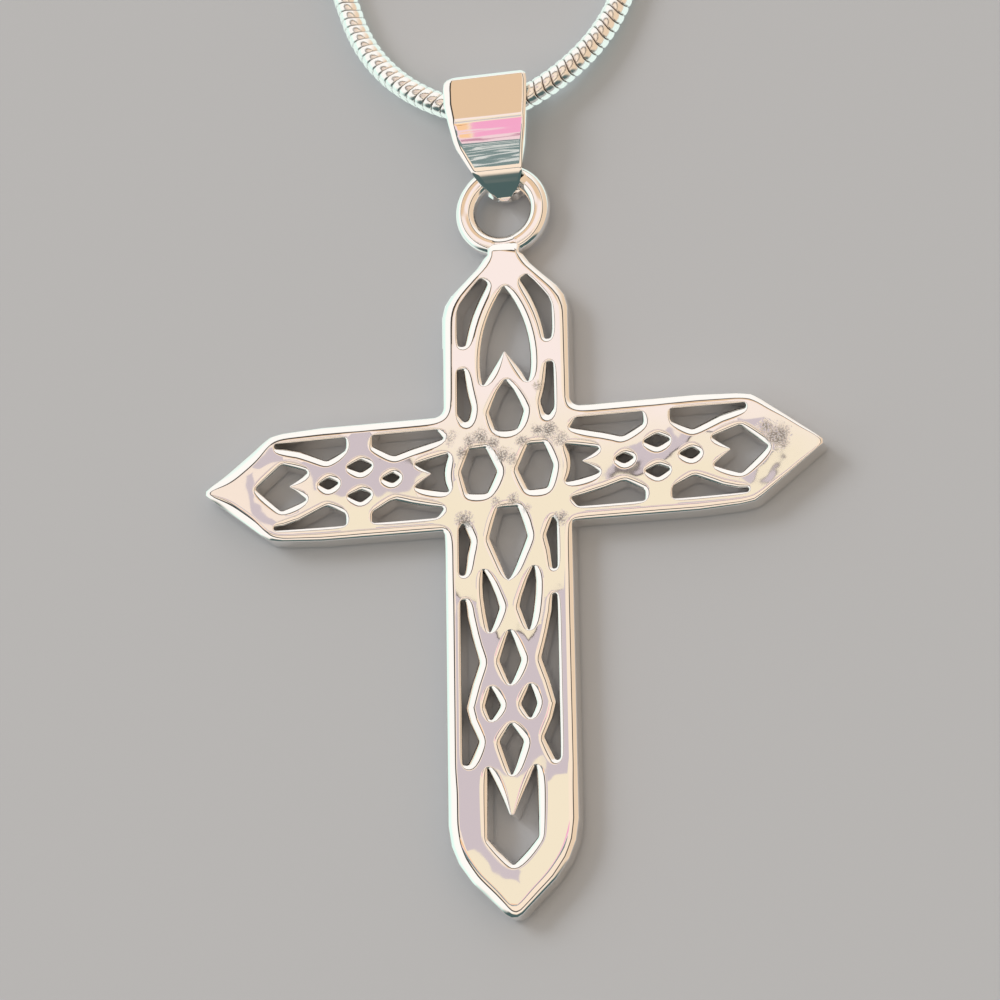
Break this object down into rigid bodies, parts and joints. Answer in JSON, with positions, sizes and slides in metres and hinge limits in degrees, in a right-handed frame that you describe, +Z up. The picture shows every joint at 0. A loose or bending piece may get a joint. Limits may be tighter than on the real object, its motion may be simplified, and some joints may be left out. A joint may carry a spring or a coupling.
{
  "type": "celtic cross pendant on a snake chain",
  "caption": "Openwork cross pendant in polished silver, lying flat with its back up, its ring held by a tapered bail on a round snake chain that closes in a barrel clasp.",
  "frame": {"origin": "on the surface that the pendant lies on, straight under the middle of the crossing", "axes": "+Z up from that surface, through the cross's flat back; +Y from the foot of the cross to its ring and on along the chain loop; +X along the right side arm, seen from above"},
  "size_m": [0.1012, 0.2362, 0.0034],
  "materials": {
    "silver": "polished silver",
    "chain_silver": "polished silver"
  },
  "bodies": {
    "root": {"cross": "silver", "bail": "silver", "chain": "chain_silver", "clasp": "silver"}
  },
  "joints": []
}
